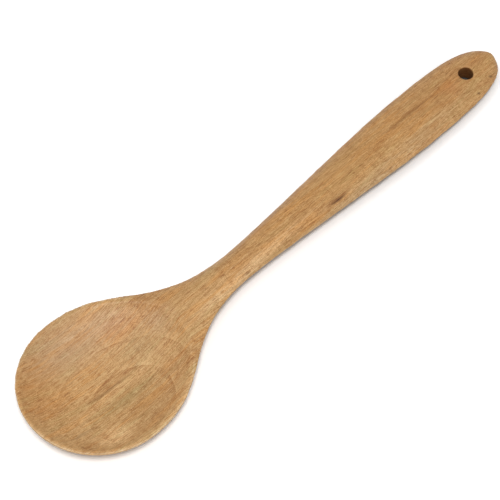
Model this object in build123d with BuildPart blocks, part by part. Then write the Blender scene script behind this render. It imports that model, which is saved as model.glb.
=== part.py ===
from build123d import *
import os

os.makedirs("parts", exist_ok=True)

# Driving sizes in millimetres. Places along the spoon are measured from the bowl's tip,
# and heights from the table, as it lies on its bowl and its handle's end.
length = 280
bowl_half_width = 34.5
neck_half_width = 7.7
grip_half_width = 14.2

# Where the bowl is widest, the neck narrowest and the grip widest
bowl_x = 35.6
neck_x = 114
grip_x = 224

# Heights of the spoon's widest line
tip_edge_z = 16
bowl_edge_z = 12.6
neck_edge_z = 9.4
grip_edge_z = 5.9
end_edge_z = 4.2

# Top line: the rim's crown above the widest line, the hollow's end at the neck, and the handle
rim_crown = 1
hollow_end_z = 13
neck_top_z = 14.2
grip_top_z = 10.4
end_top_z = 8.6

# Bottom line: it touches the table where the bowl is widest and a little before the handle's end
neck_bottom_z = 3.1
rest_inset = 22

# Hollow of the bowl: its depth, the land left around it, where it ends on the neck, and its edge
hollow_depth = 10
rim_land = 1.2
hollow_end_x = 77.5
rim_edge = 0.4

# Hanging hole through the handle's end, with both of its edges broken a little
hole_radius = 3.5
hole_inset = 18.7
hole_edge = 0.4
countersink_angle = 90
half_turn = 180

# Reach of the outline's curves, as shares of each stretch and of its width
tip_rise_share = 0.558
tip_run_share = 0.552
bowl_run_share = 0.428
neck_in_share = 0.552
neck_out_share = 0.206
grip_in_share = 0.235
end_run_share = 0.45
end_rise_share = 1.08

# Reach of the hollow's outline on the neck's side
hollow_run_share = 0.64
hollow_rise_share = 0.475

# Fullness of a section at the tip, the bowl, the neck, the grip and the end: how far the crown,
# the flanks and the belly stay level or upright before they turn
crown_shares = (0.5, 0.5, 0.5, 0.5, 0.5)
flank_shares = (0.55, 0.55, 0.55, 0.55, 0.5)
belly_shares = (0.55, 0.55, 0.5, 0.5, 0.5)
# How far the shoulders above the widest line and the hips below it lean in, as shares of their
# own heights, and how far the belly rises beside its faint keel
shoulder_lean_shares = (4, 4, 0.6, 0.6, 0.6)
hip_lean_shares = (0.3, 0.3, 0.6, 0.6, 0.6)
keel_share = 0.03

# The hollow is the lower half of a lens, widest this much above the rim,
# so that its leaning wall crosses the rim
lens_lift = 1
wall_in_share = 0.12
wall_fall_share = 0.45
floor_share = 0.55
# The lens thins towards both of its ends with this power of its width
lens_power_share = 1.4

# Sections along each stretch of the outline, closest where the end is blunt
tip_count = 11
back_count = 10
grip_count = 6
end_count = 16
# Halvings that find a place on a side line
halving_count = 40

rest_x = length - rest_inset
hole_x = length - hole_inset


def curve(*points):
    """Bezier curve for one stretch of an outline."""
    with BuildLine() as line:
        Bezier(*points)
    return line.edge()


def height_at(line, x):
    """Height of a side line where it passes x."""
    low, high = 0, 1
    for halving in range(halving_count):
        middle = (low + high) / 2
        if (line @ middle).X < x:
            low = middle
        else:
            high = middle
    return (line @ low).Y


def fullness(shares, x):
    """Eases from one named place's share to the next one's."""
    places = (0, bowl_x, neck_x, grip_x, length)
    for start, stop, first, last in zip(places, places[1:], shares, shares[1:]):
        if x <= stop:
            step = (x - start) / (stop - start)
            return first + (last - first) * step * step * (3 - 2 * step)
    return shares[-1]


def quarter_circle(share):
    """Rise of a quarter circle, from 0 to 1 as its share goes from 0 to 1."""
    return (1 - (1 - share) ** 2) ** 0.5


def stations(outline, count):
    """Points at even steps along a curve of the outline, without its start."""
    return [outline @ ((step + 1) / count) for step in range(count)]


# Outline of one side, seen from above, in four curves
back_run = neck_x - bowl_x
grip_run = grip_x - neck_x
end_run = length - grip_x
tip_curve = curve(
    (0, 0),
    (0, bowl_half_width * tip_rise_share),
    (bowl_x * (1 - tip_run_share), bowl_half_width),
    (bowl_x, bowl_half_width),
)
back_curve = curve(
    (bowl_x, bowl_half_width),
    (bowl_x + back_run * bowl_run_share, bowl_half_width),
    (neck_x - back_run * neck_in_share, neck_half_width),
    (neck_x, neck_half_width),
)
grip_curve = curve(
    (neck_x, neck_half_width),
    (neck_x + grip_run * neck_out_share, neck_half_width),
    (grip_x - grip_run * grip_in_share, grip_half_width),
    (grip_x, grip_half_width),
)
end_curve = curve(
    (grip_x, grip_half_width),
    (grip_x + end_run * end_run_share, grip_half_width),
    (length, grip_half_width * end_rise_share),
    (length, 0),
)

# Side lines: the widest line, the top line and the bottom line
with BuildLine() as edge_side:
    Spline(
        (0, tip_edge_z),
        (bowl_x, bowl_edge_z),
        (neck_x, neck_edge_z),
        (grip_x, grip_edge_z),
        (length, end_edge_z),
    )
with BuildLine() as top_side:
    Spline(
        (0, tip_edge_z + rim_crown),
        (bowl_x, bowl_edge_z + rim_crown),
        (hollow_end_x, hollow_end_z),
        (neck_x, neck_top_z),
        (grip_x, grip_top_z),
        (length, end_top_z),
    )
with BuildLine() as bottom_side:
    Spline(
        (bowl_x, 0),
        (neck_x, neck_bottom_z),
        (rest_x, 0),
        tangents=[(1, 0), (1, 0)],
    )
edge_line = edge_side.edge()
top_line = top_side.edge()
bottom_line = bottom_side.edge()


def body_section(x, half_width):
    """Rounded section of the spoon, square to its length."""
    edge_z = height_at(edge_line, x)
    crown = height_at(top_line, x) - edge_z
    belly = edge_z - height_at(bottom_line, x)
    if x < bowl_x:
        crown *= quarter_circle(half_width / bowl_half_width)
        belly *= half_width / bowl_half_width
    if x > grip_x:
        closing = quarter_circle(min(1, half_width / grip_half_width))
        crown *= closing
        belly *= closing
    top_z = edge_z + crown
    bottom_z = edge_z - belly
    crown_y = half_width * fullness(crown_shares, x)
    belly_y = half_width * fullness(belly_shares, x)
    shoulder = crown * fullness(flank_shares, x)
    shoulder_y = half_width - shoulder * fullness(shoulder_lean_shares, x)
    hip = belly * fullness(flank_shares, x)
    hip_y = half_width - hip * fullness(hip_lean_shares, x)
    keel_z = bottom_z + belly_y * keel_share
    with BuildSketch(Plane.YZ.offset(x - length / 2)) as section:
        with BuildLine():
            for side in (1, -1):
                Bezier(
                    (side * half_width, edge_z),
                    (side * shoulder_y, edge_z + shoulder),
                    (side * crown_y, top_z),
                    (0, top_z),
                )
                Bezier(
                    (side * half_width, edge_z),
                    (side * hip_y, edge_z - hip),
                    (side * belly_y, keel_z),
                    (0, bottom_z),
                )
        make_face()
    return section.sketch


# Lens of the hollow at its widest: the outline drawn in, closed by a rounder curve at the neck
lens_depth = hollow_depth + lens_lift
lens_reach = lens_lift * (bowl_half_width * wall_in_share) / (lens_depth * wall_fall_share)
lens_land = rim_land - lens_reach
lens_half_width = bowl_half_width - lens_land
lens_end_x = hollow_end_x + lens_reach
lens_run = lens_end_x - bowl_x
lens_tip_curve = curve(
    (lens_land, 0),
    (lens_land, lens_half_width * tip_rise_share),
    (bowl_x * (1 - tip_run_share), lens_half_width),
    (bowl_x, lens_half_width),
)
lens_back_curve = curve(
    (bowl_x, lens_half_width),
    (bowl_x + lens_run * hollow_run_share, lens_half_width),
    (lens_end_x, lens_half_width * hollow_rise_share),
    (lens_end_x, 0),
)


def lens_section(x, half_width):
    """Section of the lens: a leaning wall and a wide floor, the same above its rim as below."""
    depth = lens_depth * (half_width / lens_half_width) ** lens_power_share
    rim_z = height_at(top_line, x) + lens_lift
    with BuildSketch(Plane.YZ.offset(x - length / 2)) as section:
        with BuildLine():
            for side in (half_width, -half_width):
                for drop in (depth, -depth):
                    Bezier(
                        (side, rim_z),
                        (side * (1 - wall_in_share), rim_z - drop * wall_fall_share),
                        (side * floor_share, rim_z - drop),
                        (0, rim_z - drop),
                    )
        make_face()
    return section.sketch


# Body: its skin in four stretches from the tip of the bowl to the end of the handle,
# each of which starts with the last section of the one before
tip_skin = [
    Vertex(-length / 2, 0, tip_edge_z),
    *[body_section(point.X, point.Y) for point in stations(tip_curve, tip_count)],
]
back_skin = [tip_skin[-1], *[body_section(point.X, point.Y) for point in stations(back_curve, back_count)]]
grip_skin = [back_skin[-1], *[body_section(point.X, point.Y) for point in stations(grip_curve, grip_count)]]
end_skin = [
    grip_skin[-1],
    *[body_section(point.X, point.Y) for point in stations(end_curve, end_count)[:-1]],
    Vertex(length / 2, 0, end_edge_z),
]
lens_stations = stations(lens_tip_curve, tip_count) + stations(lens_back_curve, back_count)[:-1]
lens_skin = [
    Vertex(lens_land - length / 2, 0, height_at(top_line, lens_land) + lens_lift),
    *[lens_section(point.X, point.Y) for point in lens_stations],
    Vertex(lens_end_x - length / 2, 0, height_at(top_line, lens_end_x) + lens_lift),
]

hole_top_z = height_at(top_line, hole_x)
hole_bottom_z = height_at(bottom_line, hole_x)

with BuildPart() as spoon:
    for skin in (tip_skin, back_skin, grip_skin, end_skin):
        loft(sections=skin, clean=False)
    loft(sections=lens_skin, clean=False, mode=Mode.SUBTRACT)
    chamfer(spoon.edges(Select.LAST), rim_edge)
    with Locations(
        Location((hole_x - length / 2, 0, hole_top_z)),
        Location((hole_x - length / 2, 0, hole_bottom_z), (half_turn, 0, 0)),
    ):
        CounterSinkHole(hole_radius, hole_radius + hole_edge, counter_sink_angle=countersink_angle)
spoon.part.label = "spoon"
export_step(spoon.part, "parts/spoon.step")
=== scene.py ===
# %% [markdown]
# # A beech spoon
# This lesson dresses one carved spoon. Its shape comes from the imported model, and Blender
# gives it softened edges, the figure of the wood and a satin surface.
# Every place is in metres, x runs from the bowl's tip to the handle's end, and z is up.

# %% Load the spoon
import math
import bpy
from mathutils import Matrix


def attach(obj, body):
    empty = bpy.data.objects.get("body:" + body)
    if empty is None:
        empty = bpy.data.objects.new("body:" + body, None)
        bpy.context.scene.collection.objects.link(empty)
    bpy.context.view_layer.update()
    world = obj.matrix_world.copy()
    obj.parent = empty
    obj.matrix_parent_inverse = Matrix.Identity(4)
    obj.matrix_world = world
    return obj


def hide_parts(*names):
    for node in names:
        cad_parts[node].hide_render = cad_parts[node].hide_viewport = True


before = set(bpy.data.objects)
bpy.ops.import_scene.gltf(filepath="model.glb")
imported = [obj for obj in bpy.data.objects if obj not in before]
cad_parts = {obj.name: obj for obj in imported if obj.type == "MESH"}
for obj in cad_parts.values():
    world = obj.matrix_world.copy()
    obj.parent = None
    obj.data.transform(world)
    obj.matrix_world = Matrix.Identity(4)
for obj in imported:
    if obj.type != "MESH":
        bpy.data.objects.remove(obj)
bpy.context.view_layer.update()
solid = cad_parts["spoon"]

# %% [markdown]
# The photograph looks down on the spoon from beyond the bowl and to one side, with a long lens.
# A camera can be placed by its own location and angles, but it is easier to name the point it
# looks at, the direction it stands in and its distance, and to let its rotation follow.

# %% Camera
camera_aim = (-0.01284, 0.00585, 0)
camera_azimuth = -44.417
camera_elevation = 59.779
camera_distance = 0.70327
camera_lens = 115.2
camera_sensor = 36
quarter_turn = 90


def direction(azimuth, elevation):
    """Unit direction from the object: azimuth 0 is towards -y, elevation is from the table up."""
    turn, rise = math.radians(azimuth), math.radians(elevation)
    return (
        math.sin(turn) * math.cos(rise),
        -math.cos(turn) * math.cos(rise),
        math.sin(rise),
    )


def away(start, azimuth, elevation, distance):
    """The point at that distance from start in that direction."""
    steps = direction(azimuth, elevation)
    return tuple(along + step * distance for along, step in zip(start, steps))


def facing(azimuth, elevation):
    """Rotation of a camera or a lamp that stands in that direction and looks back."""
    return (math.radians(quarter_turn - elevation), 0, math.radians(azimuth))


bpy.ops.object.select_all(action="DESELECT")
bpy.ops.object.camera_add(
    location=away(camera_aim, camera_azimuth, camera_elevation, camera_distance),
    rotation=facing(camera_azimuth, camera_elevation),
)
camera = bpy.context.object
camera.name = "camera"
camera.data.sensor_width = camera_sensor
camera.data.lens = camera_lens
bpy.context.scene.camera = camera
bpy.context.scene.view_settings.view_transform = "Standard"
print("camera stands at", tuple(camera.location))

# %% [markdown]
# A material is a network of small nodes. They could be added and linked one line at a time, but
# a few short helpers that add a node, fill its inputs and hand back its output let each line of
# a material read as one step. The paper, the sky and the wood all use them.

# %% Helpers for shader nodes
def add(tree, kind, **settings):
    """A new node of that kind with its settings."""
    made = tree.nodes.new(kind)
    for name, value in settings.items():
        setattr(made, name, value)
    return made


def feed(tree, target, *sources):
    """Fills the target's inputs in turn, from sockets or with plain values."""
    for socket, source in zip(target.inputs, sources):
        if isinstance(source, bpy.types.NodeSocket):
            tree.links.new(source, socket)
        else:
            socket.default_value = source
    return target.outputs[0]


def sums(tree, operation, *sources):
    """A Math node's result."""
    return feed(tree, add(tree, "ShaderNodeMath", operation=operation), *sources)


def vectors(tree, operation, *sources):
    """A Vector Math node's result, which is a number for some operations."""
    made = add(tree, "ShaderNodeVectorMath", operation=operation)
    feed(tree, made, *sources)
    gives_number = operation in ("LENGTH", "DISTANCE", "DOT_PRODUCT")
    return made.outputs["Value" if gives_number else "Vector"]


def spread(tree, value, start, stop, low, high):
    """Turns start to stop into low to high, evenly."""
    return feed(tree, add(tree, "ShaderNodeMapRange"), value, start, stop, low, high)


def ease(tree, value, start, stop, low=0, high=1):
    """Turns start to stop into low to high, slowly at both ends."""
    made = add(tree, "ShaderNodeMapRange", interpolation_type="SMOOTHSTEP")
    return feed(tree, made, value, start, stop, low, high)


print("helpers add, feed, sums, vectors, spread and ease are ready")

# %% [markdown]
# The spoon lies on a plain matt sheet. It could be a curved backdrop, but one large flat plane
# is enough here, because its edge stays far outside the picture.

# %% Floor
floor_size = 6

bpy.ops.object.select_all(action="DESELECT")
bpy.ops.mesh.primitive_plane_add(size=floor_size)
floor = bpy.context.object
floor.name = "floor"
print("floor is", floor_size, "m wide")

# %% [markdown]
# In the photograph the sheet is pure white, with a narrow shade where the spoon comes close to
# it. More light would whiten the sheet, but it would bleach the wood as well. So the rays that
# look at the sheet, straight or by way of gloss or glass, meet a brighter white, while the
# light that it throws back onto the spoon stays that of pale paper. Ambient occlusion darkens
# it deep under the spoon, and a soft spot does so under the hanging hole, through which no
# white is seen.

# %% White paper
paper_grey = 0.8
paper_white = 1.2
# Ambient occlusion paints shade into the paper's colour deep under the spoon.
crevice_reach = 0.0075
crevice_samples = 8
crevice_open = (0.12, 0.85)
crevice_shade = 0.45
# Painted shade: a soft dark spot on the paper under the hanging hole.
hole_painted_shade_centre = (0.1213, 0, 0)
hole_painted_shade_reach = (0.0055, 0.0075)
hole_painted_shade_level = 0.12


def seen_rays(tree):
    """1 for rays that look at a backdrop, straight or by way of gloss or glass, and else 0."""
    rays = add(tree, "ShaderNodeLightPath").outputs
    seen = rays["Is Camera Ray"]
    for name in ("Is Glossy Ray", "Is Transmission Ray"):
        seen = sums(tree, "MAXIMUM", seen, rays[name])
    return seen


paper = bpy.data.materials.new("white_paper")
paper.use_nodes = True
sheet = paper.node_tree
sheet.nodes.remove(sheet.nodes["Principled BSDF"])
paper_tone = spread(sheet, seen_rays(sheet), 0, 1, paper_grey, paper_white)

crevice = add(sheet, "ShaderNodeAmbientOcclusion", samples=crevice_samples)
crevice.inputs["Distance"].default_value = crevice_reach
crevice_tone = spread(sheet, crevice.outputs["AO"], *crevice_open, crevice_shade, 1)

sheet_place = add(sheet, "ShaderNodeTexCoord").outputs["Object"]
from_hole_painted_shade = vectors(sheet, "DISTANCE", sheet_place, hole_painted_shade_centre)
hole_painted_shade_tone = spread(sheet, from_hole_painted_shade, *hole_painted_shade_reach, hole_painted_shade_level, 1)

paper_shade = sums(sheet, "MULTIPLY", crevice_tone, hole_painted_shade_tone)
paper_colour = sums(sheet, "MULTIPLY", paper_tone, paper_shade)
paper_matt = feed(sheet, add(sheet, "ShaderNodeBsdfDiffuse"), paper_colour)
sheet.links.new(paper_matt, sheet.nodes["Material Output"].inputs["Surface"])
floor.data.materials.append(paper)
print("paper is", paper_grey, "for light and", paper_white, "for the camera")

# %% [markdown]
# A spoon on white paper is lit by one main lamp and softer ones that lift its shade. The key
# lamp stands a little above the camera, so the shadow stays close to the spoon. The fill lamp
# behind and the lamp at the side bring out the bowl's wall and the handle's flanks. Area lamps
# are used because their size sets how soft the shadows are.

# %% Lamps
lamp_distance = 1.5
# Name: azimuth and elevation in degrees, size in metres, power in watts
lamps = {
    "key_lamp": (-43, 69, 0.3, 13.2),
    "fill_lamp": (-160, 50, 1.1, 2.5),
    "side_lamp": (18, 38, 0.9, 2.0),
}

for name, (azimuth, elevation, size, power) in lamps.items():
    bpy.ops.object.light_add(
        type="AREA",
        location=away((0, 0, 0), azimuth, elevation, lamp_distance),
        rotation=facing(azimuth, elevation),
    )
    lamp = bpy.context.object
    lamp.name = name
    lamp.data.size = size
    lamp.data.energy = power
    print(name, "stands at", tuple(lamp.location))

# %% [markdown]
# The sky lights the spoon evenly from all round. A picture of a studio could do that too, but
# satin wood mirrors too little to show one. Like the paper, the sky is plain white for the rays
# that look at it, and weaker for the light that it gives.

# %% Sky
sky_white = (1, 1, 1, 1)
sky_light = 0.32
sky_seen = 1

world = bpy.data.worlds.new("studio")
world.use_nodes = True
bpy.context.scene.world = world
sky = world.node_tree
backdrop = sky.nodes["Background"]
backdrop.inputs["Color"].default_value = sky_white
sky_strength = spread(sky, seen_rays(sky), 0, 1, sky_light, sky_seen)
sky.links.new(sky_strength, backdrop.inputs["Strength"])
print("sky gives", sky_light, "and shows", sky_seen)

# %% [markdown]
# The real spoon was carved from one piece and sanded. It could be modelled once more from a
# primitive, but the solid already has its true shape. So the piece starts as a copy of the
# solid, whose loose triangles are merged, and the solid itself stays hidden underneath.

# %% Copy of the solid
merge_distance = 0.00001

bpy.ops.object.select_all(action="DESELECT")
solid.select_set(True)
bpy.context.view_layer.objects.active = solid
bpy.ops.object.duplicate()
carved = bpy.context.object
carved.name = "spoon_carved"
bpy.ops.object.mode_set(mode="EDIT")
bpy.ops.mesh.select_all(action="SELECT")
bpy.ops.mesh.remove_doubles(threshold=merge_distance)
bpy.ops.object.mode_set(mode="OBJECT")
print("copy has", len(carved.data.vertices), "merged corners")

# %% [markdown]
# Sandpaper takes the sharpness off the rim and the widest line. A bevel would need clean edges
# to run along, and the solid's uneven triangles have none. So a fine voxel remesh gives the
# copy even faces all over, and a short smoothing then rounds every edge by the same little
# amount and leaves the broad shapes as they are.

# %% Sanded edges
voxel = 0.00054
sanding_passes = 2
sanding_share = 0.5

remesh = carved.modifiers.new("even_faces", "REMESH")
remesh.mode = "VOXEL"
remesh.voxel_size = voxel
bpy.ops.object.modifier_apply(modifier=remesh.name)
sanding = carved.modifiers.new("sanding", "SMOOTH")
sanding.factor = sanding_share
sanding.iterations = sanding_passes
bpy.ops.object.modifier_apply(modifier=sanding.name)
bpy.ops.object.shade_smooth()
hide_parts("spoon")
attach(carved, "root")
print("carved piece has", len(carved.data.polygons), "faces")

# %% [markdown]
# Wood has several effects that are used many times with other sizes: streaks, dashes, growth
# layers and single marks. Each becomes a node group with named inputs, which takes a place on
# the spoon in metres and puts out a mask or a level.

# %% Helpers for node groups
def new_group(name, inputs, outputs):
    """Node group whose inputs are (name, kind, value) and whose outputs are names of numbers."""
    tree = bpy.data.node_groups.new(name, "ShaderNodeTree")
    for label, kind, value in inputs:
        socket_type = "NodeSocket" + kind
        socket = tree.interface.new_socket(label, in_out="INPUT", socket_type=socket_type)
        if value is not None:
            socket.default_value = value
    for label in outputs:
        tree.interface.new_socket(label, in_out="OUTPUT", socket_type="NodeSocketFloat")
    return tree, add(tree, "NodeGroupInput").outputs, add(tree, "NodeGroupOutput").inputs


def use(tree, group, place, facing_up=None, **values):
    """Places a group in a material at that place on the spoon, with its own values."""
    made = add(tree, "ShaderNodeGroup", node_tree=group)
    tree.links.new(place, made.inputs["Place"])
    if facing_up:
        tree.links.new(facing_up, made.inputs["Facing up"])
    for name, value in values.items():
        made.inputs[name].default_value = value
    return made.outputs


print("helpers new_group and use are ready")

# %% [markdown]
# Wood fibres run along the spoon, on every side of it. A pattern that is long along the grain
# and thin both ways across it would break up wherever the carving slopes. So streaks and dashes
# look at the wood twice, straight down and straight from the side, and the surface shows the
# view that it faces more.

# %% Two views of a pattern
view_depth = 8
view_inputs = [
    ("Place", "Vector", None),
    ("Facing up", "Float", 1),
    ("Length", "Float", 0.01),
    ("Width", "Float", 0.001),
    ("Seed", "Float", 0),
]


def two_views(tree, given, pattern):
    """Mixes a pattern seen from above with the same pattern seen from the side."""
    split = add(tree, "ShaderNodeSeparateXYZ")
    feed(tree, split, given["Place"])
    along = sums(tree, "DIVIDE", split.outputs["X"], given["Length"])
    thick = sums(tree, "MULTIPLY", given["Width"], view_depth)
    levels = []
    for across, deep in (("Y", "Z"), ("Z", "Y")):
        across_share = sums(tree, "DIVIDE", split.outputs[across], given["Width"])
        deep_share = sums(tree, "DIVIDE", split.outputs[deep], thick)
        seen = add(tree, "ShaderNodeCombineXYZ")
        levels.append(pattern(feed(tree, seen, along, across_share, deep_share)))
    from_above, from_side = levels
    return spread(tree, given["Facing up"], 0, 1, from_side, from_above)


print("both views reach", view_depth, "widths deep")

# %% [markdown]
# Streaks are the fibres and the drifts between them. They could be painted, but noise gives
# them for any size: the place is divided by a length along the grain and by a width across it.

# %% Streaks along the grain
streak_detail = 2
streak_fade = 0.55

streaks, given, result = new_group("wood_streaks", view_inputs, ["Level"])


def streak_pattern(seen):
    """Noise at that place, another one for each seed."""
    noise = add(streaks, "ShaderNodeTexNoise", noise_dimensions="4D")
    noise.inputs["Scale"].default_value = 1
    noise.inputs["Detail"].default_value = streak_detail
    noise.inputs["Roughness"].default_value = streak_fade
    streaks.links.new(seen, noise.inputs["Vector"])
    streaks.links.new(given["Seed"], noise.inputs["W"])
    return noise.outputs["Fac"]


streaks.links.new(two_views(streaks, given, streak_pattern), result["Level"])
print("group", streaks.name)

# %% [markdown]
# Beech is known by its short dark dashes, the ends of its rays on a flat-sawn face. Stretched
# noise would run them together, so they are stretched Voronoi cells, which stay apart: only
# some cells are kept, and only the middle of each is dark.

# %% Dashes
dash_edge = 0.42
dash_core = 0.12

dash_inputs = [*view_inputs, ("Share", "Float", 0.5)]
dashes, given, result = new_group("wood_dashes", dash_inputs, ["Mask"])


def dash_pattern(seen):
    """Dark middle of each kept cell."""
    cells = add(dashes, "ShaderNodeTexVoronoi", voronoi_dimensions="2D")
    cells.inputs["Scale"].default_value = 1
    dashes.links.new(vectors(dashes, "ADD", seen, given["Seed"]), cells.inputs["Vector"])
    pick = add(dashes, "ShaderNodeSeparateColor")
    feed(dashes, pick, cells.outputs["Color"])
    kept = sums(dashes, "LESS_THAN", pick.outputs["Red"], given["Share"])
    dark = ease(dashes, cells.outputs["Distance"], dash_edge, dash_core)
    strength = sums(dashes, "MULTIPLY", dark, pick.outputs["Green"])
    return sums(dashes, "MULTIPLY", kept, strength)


dashes.links.new(two_views(dashes, given, dash_pattern), result["Mask"])
print("group", dashes.name)

# %% [markdown]
# The blank was cut flat from a board, so its growth layers lie nearly level and lean a little
# to one side. A solid pattern of leaning layers gives the right figure wherever the carving
# cuts through them: loops in the hollow, ovals under it and long lines on the handle. Each
# layer darkens slowly and ends in a thin dark line, after which the next one starts pale.

# %% Growth layers
layer_lean = (0.0353, 0.2533, 1)
layer_start = -0.00024
layer_wobble_size = (0.06, 0.012, 0.012)
layer_line_start = 0.84
layer_pale_stop = 0.12
noise_middle = 0.5

layers, given, result = new_group(
    "wood_layers",
    [("Place", "Vector", None), ("Spacing", "Float", 0.0045), ("Wobble", "Float", 0.0008)],
    ["Rise", "Line", "Pale"],
)
layer_noise = add(layers, "ShaderNodeTexNoise")
layer_noise.inputs["Scale"].default_value = 1
wobble_place = vectors(layers, "DIVIDE", given["Place"], layer_wobble_size)
layers.links.new(wobble_place, layer_noise.inputs["Vector"])
layer_swing = sums(layers, "SUBTRACT", layer_noise.outputs["Fac"], noise_middle)
layer_shift = sums(layers, "MULTIPLY", layer_swing, given["Wobble"])
layer_slope = vectors(layers, "DOT_PRODUCT", given["Place"], layer_lean)
layer_height = sums(layers, "ADD", layer_slope, layer_start)
layer_place = sums(layers, "ADD", layer_height, layer_shift)
layer_rise = sums(layers, "FRACT", sums(layers, "DIVIDE", layer_place, given["Spacing"]))
layers.links.new(layer_rise, result["Rise"])
layers.links.new(ease(layers, layer_rise, layer_line_start, 1), result["Line"])
layers.links.new(ease(layers, layer_rise, layer_pale_stop, 0), result["Pale"])
print("group", layers.name)

# %% [markdown]
# Some marks belong to this one spoon: a redder tip, an olive band in the hollow, a small knot
# on the handle. A soft spot is a mask that fades from its centre to its reach, and it may be
# turned about the upright.

# %% Soft spots
spots, given, result = new_group(
    "wood_spot",
    [
        ("Place", "Vector", None),
        ("Centre", "Vector", None),
        ("Reach", "Vector", (0.01, 0.01, 0.01)),
        ("Turn", "Float", 0),
    ],
    ["Mask"],
)
spot_turn = add(spots, "ShaderNodeVectorRotate", rotation_type="Z_AXIS")
spots.links.new(given["Place"], spot_turn.inputs["Vector"])
spots.links.new(given["Centre"], spot_turn.inputs["Center"])
spots.links.new(given["Turn"], spot_turn.inputs["Angle"])
spot_offset = vectors(spots, "SUBTRACT", spot_turn.outputs[0], given["Centre"])
spot_far = vectors(spots, "LENGTH", vectors(spots, "DIVIDE", spot_offset, given["Reach"]))
spots.links.new(ease(spots, spot_far, 1, 0), result["Mask"])
print("group", spots.name)

# %% [markdown]
# The beech is one material for the whole spoon. It reads the place on the object, so its grain
# runs through bowl and handle as in one piece of wood, and it reads the upright share of the
# surface's normal, which decides between the two views. Two short helpers place the streaks
# and the spots in it.

# %% Beech material
side_facing = 0.45
top_facing = 0.7

beech = bpy.data.materials.new("beech")
beech.use_nodes = True
wood = beech.node_tree
beech_shader = wood.nodes["Principled BSDF"]
surface = add(wood, "ShaderNodeTexCoord").outputs
place = surface["Object"]
uprights = add(wood, "ShaderNodeSeparateXYZ")
feed(wood, uprights, surface["Normal"])
upright = sums(wood, "ABSOLUTE", uprights.outputs["Z"])
facing_up = ease(wood, upright, side_facing, top_facing)


def streaks_of(length, width, seed):
    """Level of the beech's streaks of that size."""
    made = use(wood, streaks, place, facing_up, Length=length, Width=width, Seed=seed)
    return made["Level"]


def spot_at(centre, reach, turn=0):
    """Mask of a soft spot on the beech, turned by that many degrees."""
    made = use(wood, spots, place, Centre=centre, Reach=reach, Turn=math.radians(turn))
    return made["Mask"]


print("beech shows its side view below", side_facing, "and its top view above", top_facing)

# %% [markdown]
# Each effect could mix in a colour of its own, but then every change of one would upset the
# others. So a single level is added up first: 0 is the darkest wood and 1 the lightest. Broad
# drifts, bands, strands, fine fibres and specks swing it both ways about their middles, the
# growth layers shade it slowly, and the dashes only darken it.

# %% Level of the wood
level_start = 0.595
# Name: length, width, seed, weight
streak_sorts = {
    "broad": (0.09, 0.012, 2.0, 0.5),
    "bands": (0.03, 0.0022, 5.0, 0.42),
    "strands": (0.016, 0.00038, 7.0, 0.36),
    "fibres": (0.0055, 0.00026, 9.0, 1.6),
    "specks": (0.0005, 0.00040, 3.0, 1.4),
}
layer_spacing = 0.00454
layer_wobble = 0.0012
layer_weight = -0.07
# Name: length, width, share of the cells that is kept, seed, weight
dash_sorts = {
    "strong": (0.0052, 0.00032, 0.42, 1.0, -0.55),
    "small": (0.0030, 0.00026, 0.6, 4.0, -0.5),
}


def weigh(level, source, middle, weight):
    """Adds that much of a source to the level, counted from the source's middle."""
    centred = sums(wood, "SUBTRACT", source, middle)
    return sums(wood, "ADD", sums(wood, "MULTIPLY", centred, weight), level)


level = level_start
grain = {}
for name, (length, width, seed, weight) in streak_sorts.items():
    grain[name] = streaks_of(length, width, seed)
    level = weigh(level, grain[name], noise_middle, weight)
grown = use(wood, layers, place, Spacing=layer_spacing, Wobble=layer_wobble)
level = weigh(level, grown["Rise"], noise_middle, layer_weight)
for name, (length, width, share, seed, weight) in dash_sorts.items():
    values = {"Length": length, "Width": width, "Share": share, "Seed": seed}
    grain[name] = use(wood, dashes, place, facing_up, **values)["Mask"]
    level = weigh(level, grain[name], 0, weight)
print("level is added up from", ", ".join(grain), "and growth layers")

# %% [markdown]
# On the far wall of the hollow the fibres are made to show less, where its painted sheen lies,
# since a sheen veils them. They could be weighed less there one by one, but it is simpler to draw
# the level part of the way to its own middle.

# %% Calmer grain under the painted sheen
sheen_calm_centre = (-0.107, 0.021, 0.010)
sheen_calm_reach = (0.040, 0.022, 0.020)
sheen_calm_share = 0.4
sheen_calm_level = 0.56

# Part of the painted sheen: the grain is calmed where the far wall's sheen lies.
calmed = sums(wood, "MULTIPLY", spot_at(sheen_calm_centre, sheen_calm_reach), sheen_calm_share)
level = spread(wood, calmed, 0, 1, level, sheen_calm_level)
print("far wall is rubbed towards", sheen_calm_level)

# %% [markdown]
# The growth layers end in thin lines, a dark one with a pale one after it. They show most in
# the bottom of the hollow, fade in and out along their loops, and are missing in one gap
# towards the tip. Loops drawn by hand would miss the shape of the hollow, so the layers give
# the lines, and noise and two soft spots set their share.

# %% Growth lines
line_dark = 0.26
line_pale = 0.18
line_breaks_size = (0.012, 0.005)
line_breaks_seed = 12.0
line_breaks_range = (0.38, 0.58)
loops_centre = (-0.098, -0.006, 0.004)
loops_reach = (0.036, 0.036, 0.016)
loops_range = (0, 0.5)
line_elsewhere = 0.25
gap_centre = (-0.1172, -0.0070, 0.006)
gap_reach = (0.0065, 0.009, 0.010)
gap_range = (0, 0.5)

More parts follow.
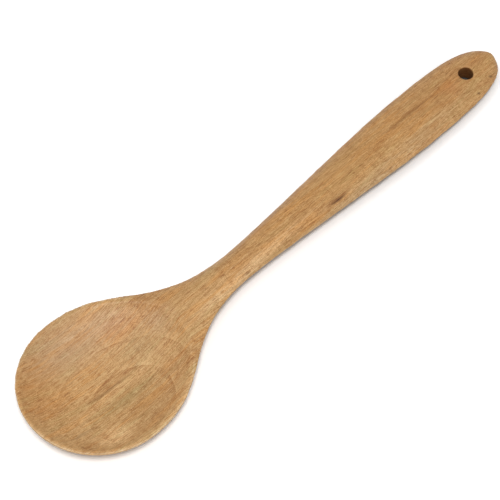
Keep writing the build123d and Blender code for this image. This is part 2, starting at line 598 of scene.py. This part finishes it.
line_breaks = ease(wood, streaks_of(*line_breaks_size, line_breaks_seed), *line_breaks_range)
loops_here = ease(wood, spot_at(loops_centre, loops_reach), *loops_range, line_elsewhere, 1)
outside_gap = ease(wood, spot_at(gap_centre, gap_reach), *gap_range, 1, 0)
line_share = sums(wood, "MULTIPLY", line_breaks, loops_here)
line_share = sums(wood, "MULTIPLY", line_share, outside_gap)
pale_lines = sums(wood, "MULTIPLY", grown["Pale"], line_pale)
dark_lines = sums(wood, "MULTIPLY", grown["Line"], line_dark)
lines = sums(wood, "SUBTRACT", pale_lines, dark_lines)
level = sums(wood, "ADD", sums(wood, "MULTIPLY", lines, line_share), level)
print("growth lines darken by", line_dark, "and lighten by", line_pale)

# %% [markdown]
# Oiled beech is red-brown in its dark dashes, tan in between, and straw in its palest fibres.
# A mix of two colours would leave what lies between them to chance, so a colour ramp with a
# tan of its own in the middle turns the level into these colours.

# %% Wood colours from the level
beech_dark = (0.29, 0.118, 0.032, 1)
beech_middle = (0.485, 0.267, 0.100, 1)
beech_light = (0.69, 0.440, 0.205, 1)
beech_middle_level = 0.5

ramp = add(wood, "ShaderNodeValToRGB")
ramp.color_ramp.elements[0].color = beech_dark
ramp.color_ramp.elements[1].color = beech_light
ramp.color_ramp.elements.new(beech_middle_level).color = beech_middle
colour = feed(wood, ramp, level)
print("ramp has", len(ramp.color_ramp.elements), "wood colours")

# %% [markdown]
# In real beech the hue drifts as well, between orange and straw, and not only the lightness.
# Two slow streak patterns are averaged, and each side of their middle has its own tint. The
# tint helper multiplies a colour by another one, by the share that a mask gives.

# %% Drifts of the hue
orange_tint = (1.06, 0.93, 0.73, 1)
straw_tint = (0.97, 1.07, 1.06, 1)
hue_share = 0.75
orange_range = (0.5, 0.62)
straw_range = (0.5, 0.38)
hue_broad_size = (0.05, 0.007)
hue_broad_seed = 20.0
hue_fine_size = (0.014, 0.0011)
hue_fine_seed = 23.0
half = 0.5


def tint(share, colour, times):
    """Multiplies one of the beech's colours by a tint, by that share of it."""
    made = add(wood, "ShaderNodeMix", data_type="RGBA", blend_type="MULTIPLY")
    sockets = {one.identifier: one for one in made.inputs}
    wood.links.new(share, sockets["Factor_Float"])
    wood.links.new(colour, sockets["A_Color"])
    sockets["B_Color"].default_value = times
    return next(one for one in made.outputs if one.identifier == "Result_Color")


hue_broad = streaks_of(*hue_broad_size, hue_broad_seed)
hue_fine = streaks_of(*hue_fine_size, hue_fine_seed)
hue_drift = sums(wood, "MULTIPLY", sums(wood, "ADD", hue_broad, hue_fine), half)
colour = tint(ease(wood, hue_drift, *orange_range, 0, hue_share), colour, orange_tint)
colour = tint(ease(wood, hue_drift, *straw_range, 0, hue_share), colour, straw_tint)
print("hue drifts by", hue_share, "of its tints")

# %% [markdown]
# Now the marks of this one spoon. Its tip and the handle's end are redder, olive, brown and pale
# bands cross the hollow, and the handle has a dark slit of a knot, a vein and a few pin marks. A
# painted highlight runs along the ridge of the neck, painted light lies on the handle's near
# flank, and a painted sheen lies on the hollow's far wall and on its wall at the neck. Marks
# could be painted on the mesh, but they would blur with its faces, so each one is a soft spot
# with a tint, and the strands of the grain break up its outline.

# %% Marks of this spoon
# Name: centre, reach, turn in degrees, tint
marks = {
    "tip_red": ((-0.130, 0.013, 0.010), (0.022, 0.024, 0.02), 30, (0.95, 0.85, 0.74)),
    "end_red": ((0.128, 0.0, 0.007), (0.060, 0.040, 0.03), 0, (0.89, 0.80, 0.69)),
    "back_orange": ((-0.082, 0.015, 0.008), (0.014, 0.011, 0.012), 0, (0.96, 0.86, 0.76)),
    # Painted sheen on the far wall of the hollow.
    "far_wall_painted_sheen": ((-0.106, 0.023, 0.010), (0.032, 0.017, 0.02), 10, (0.98, 1.09, 1.46)),
    "back_brown": ((-0.081, 0.003, 0.006), (0.015, 0.011, 0.010), 0, (0.86, 0.90, 0.92)),
    # Painted sheen on the hollow's wall at the neck.
    "neck_wall_painted_sheen": ((-0.068, 0.006, 0.010), (0.011, 0.014, 0.01), 0, (0.93, 0.97, 1.16)),
    "inner_dark": ((-0.099, -0.016, 0.006), (0.024, 0.014, 0.014), 4, (0.92, 0.94, 0.92)),
    "hollow_olive": ((-0.101, -0.0110, 0.004), (0.028, 0.0048, 0.01), 2, (0.78, 0.82, 0.77)),
    "hollow_brown": ((-0.097, -0.0265, 0.010), (0.014, 0.006, 0.010), 4, (0.93, 0.91, 0.89)),
    "hollow_streak": ((-0.104, -0.0027, 0.004), (0.018, 0.0012, 0.01), 3, (0.62, 0.58, 0.52)),
    "hollow_pale": ((-0.098, -0.0050, 0.004), (0.022, 0.0020, 0.01), 3, (1.16, 1.21, 1.29)),
    "left_streak": ((-0.125, -0.0125, 0.010), (0.016, 0.0016, 0.01), 4, (0.68, 0.67, 0.64)),
    "pale_patch": ((-0.1170, -0.0222, 0.009), (0.014, 0.0085, 0.01), 0, (1.50, 1.66, 1.98)),
    "handle_knot": ((0.0282, -0.0076, 0.0120), (0.0066, 0.00105, 0.006), 3, (0.20, 0.10, 0.05)),
    "knot_shade": ((0.0262, -0.0070, 0.0120), (0.0130, 0.0022, 0.008), 2, (0.72, 0.64, 0.56)),
    "handle_vein": ((0.084, 0.0022, 0.0105), (0.030, 0.0011, 0.004), 0, (0.70, 0.66, 0.60)),
    "end_pin": ((0.1295, -0.0086, 0.0071), (0.0017, 0.0009, 0.003), 20, (0.20, 0.15, 0.12)),
    "end_blush": ((0.1095, -0.0008, 0.0092), (0.0080, 0.0050, 0.006), 10, (1.02, 0.90, 0.84)),
    "end_pin_low": ((0.1183, -0.0111, 0.0070), (0.0014, 0.0009, 0.003), 20, (0.28, 0.20, 0.16)),
    "neck_pin": ((-0.0264, -0.0062, 0.0124), (0.0030, 0.0009, 0.004), 4, (0.42, 0.33, 0.26)),
    "handle_warm": ((0.040, 0.003, 0.010), (0.130, 0.030, 0.030), 0, (0.89, 0.81, 0.66)),
    # Painted highlight along the ridge of the neck.
    "neck_ridge_painted_highlight": ((-0.022, -0.0058, 0.013), (0.050, 0.0032, 0.010), -2, (1.32, 1.49, 1.90)),
    # Painted light on the handle's near flank.
    "near_flank_painted_light": ((0.030, -0.0122, 0.007), (0.120, 0.0064, 0.010), -3, (1.02, 1.22, 1.62)),
}
mark_breaks_range = (0.38, 0.58)
mark_breaks_share = 0.6

mark_breaks = ease(wood, grain["strands"], *mark_breaks_range, mark_breaks_share, 1)
for centre, reach, turn, times in marks.values():
    mask = sums(wood, "MULTIPLY", spot_at(centre, reach, turn), mark_breaks)
    colour = tint(mask, colour, (*times, 1))
print("beech has", len(marks), "marks")

# %% [markdown]
# The wall of the hanging hole shows end grain, which drinks more oil and turns darker, and its
# dark tint also holds painted shade, as little light reaches into the hole. It could be a slot of
# its own, but the wood should run on into it, so a spot that stands upright in the hole tints it,
# with a firm edge.

# %% Wall of the hanging hole
hole_centre = (0.1213, 0, 0.0044)
hole_reach = (0.0052, 0.0052, 0.020)
hole_range = (0.17, 0.24)
# Partly darker end grain, partly painted shade inside the hole.
hole_end_grain_and_shade_tint = (0.40, 0.31, 0.25, 1)

hole_here = ease(wood, spot_at(hole_centre, hole_reach), *hole_range)
colour = tint(hole_here, colour, hole_end_grain_and_shade_tint)
print("hole wall is tinted round x", hole_centre[0])

# %% [markdown]
# A painted highlight runs round the bowl as a thin pale line, on the outside of its rim, where
# its edge would catch the light.
# It could be a strip of its own, but a mask follows the wood without a seam. Two things find
# it: it stands as high as the bowl's widest line, whose height is a curve over the distance
# from the tip, and it faces away from the middle of the bowl.

# %% Painted highlight on the rim
bowl_tip = -0.14
bowl_middle = (-0.1, 0, 0)
level_only = (1, 1, 0)
# Height of the widest line: at the tip, its fall and its bend
rim_start = 0.016
rim_fall = -0.1328
rim_bend = 1.047
rim_height_range = (-0.0010, -0.0003)
rim_outward_range = (0.12, 0.35)
rim_stop_range = (-0.066, -0.074)
# Painted highlight: the rim line is drawn lighter and paler.
rim_highlight_tint = (1.17, 1.33, 1.66, 1)

places = add(wood, "ShaderNodeSeparateXYZ")
feed(wood, places, place)
from_tip = sums(wood, "SUBTRACT", places.outputs["X"], bowl_tip)
rim_slope = sums(wood, "MULTIPLY_ADD", from_tip, rim_bend, rim_fall)
rim_line = sums(wood, "MULTIPLY_ADD", from_tip, rim_slope, rim_start)
over_line = sums(wood, "SUBTRACT", places.outputs["Z"], rim_line)
from_middle = vectors(wood, "SUBTRACT", place, bowl_middle)
outwards = vectors(wood, "NORMALIZE", vectors(wood, "MULTIPLY", from_middle, level_only))
outward = vectors(wood, "DOT_PRODUCT", surface["Normal"], outwards)
rim_high = ease(wood, over_line, *rim_height_range)
rim_outward = ease(wood, outward, *rim_outward_range)
rim_on_bowl = ease(wood, places.outputs["X"], *rim_stop_range)
rim_highlight_mask = sums(wood, "MULTIPLY", sums(wood, "MULTIPLY", rim_high, rim_outward), rim_on_bowl)
colour = tint(rim_highlight_mask, colour, rim_highlight_tint)
print("rim line ends at x", rim_stop_range[0])

# %% [markdown]
# The other sharper edges, at the hollow and at the hanging hole, get a painted highlight too:
# they are drawn paler, as if they caught the light. Pointiness tells how much a surface bulges
# there, so no edge has to be marked by hand.

# %% Painted highlight on sharp edges
edge_highlight_range = (0.53, 0.60)
# Painted highlight: bulging edges are drawn lighter and paler.
edge_highlight_tint = (1.20, 1.27, 1.38, 1)

pointiness = add(wood, "ShaderNodeNewGeometry").outputs["Pointiness"]
colour = tint(ease(wood, pointiness, *edge_highlight_range), colour, edge_highlight_tint)
print("edges are worn from pointiness", edge_highlight_range[0])

# %% [markdown]
# The finish is sanded and lightly oiled: satin, with a low gloss that changes a little from
# fibre to fibre. Two faint bumps let the fibres stand up and the dashes lie lower. They could
# be real relief, but at hundredths of a millimetre only the light on them can be seen.

# %% Beech surface
beech_smooth = 0.42
beech_rough = 0.54
gloss_range = (0.3, 0.7)
beech_shine = 0.4
fibre_height = 0.00004
dash_height = 0.00004

beech_gloss = ease(wood, grain["fibres"], *gloss_range, beech_rough, beech_smooth)
wood.links.new(colour, beech_shader.inputs["Base Color"])
wood.links.new(beech_gloss, beech_shader.inputs["Roughness"])
beech_shader.inputs["Specular IOR Level"].default_value = beech_shine
fibre_bump = add(wood, "ShaderNodeBump")
fibre_bump.inputs["Distance"].default_value = fibre_height
wood.links.new(grain["fibres"], fibre_bump.inputs["Height"])
dash_bump = add(wood, "ShaderNodeBump", invert=True)
dash_bump.inputs["Distance"].default_value = dash_height
wood.links.new(grain["strong"], dash_bump.inputs["Height"])
wood.links.new(fibre_bump.outputs["Normal"], dash_bump.inputs["Normal"])
wood.links.new(dash_bump.outputs["Normal"], beech_shader.inputs["Normal"])
print("beech has", len(wood.nodes), "nodes")

# %% [markdown]
# The material goes on the carved piece, and on the solid under it, so that both are the same
# wood wherever the model is used.

# %% Beech on the spoon
for piece in (carved, solid):
    piece.data.materials.clear()
    piece.data.materials.append(beech)
    print(piece.name, "is made of", piece.data.materials[0].name)
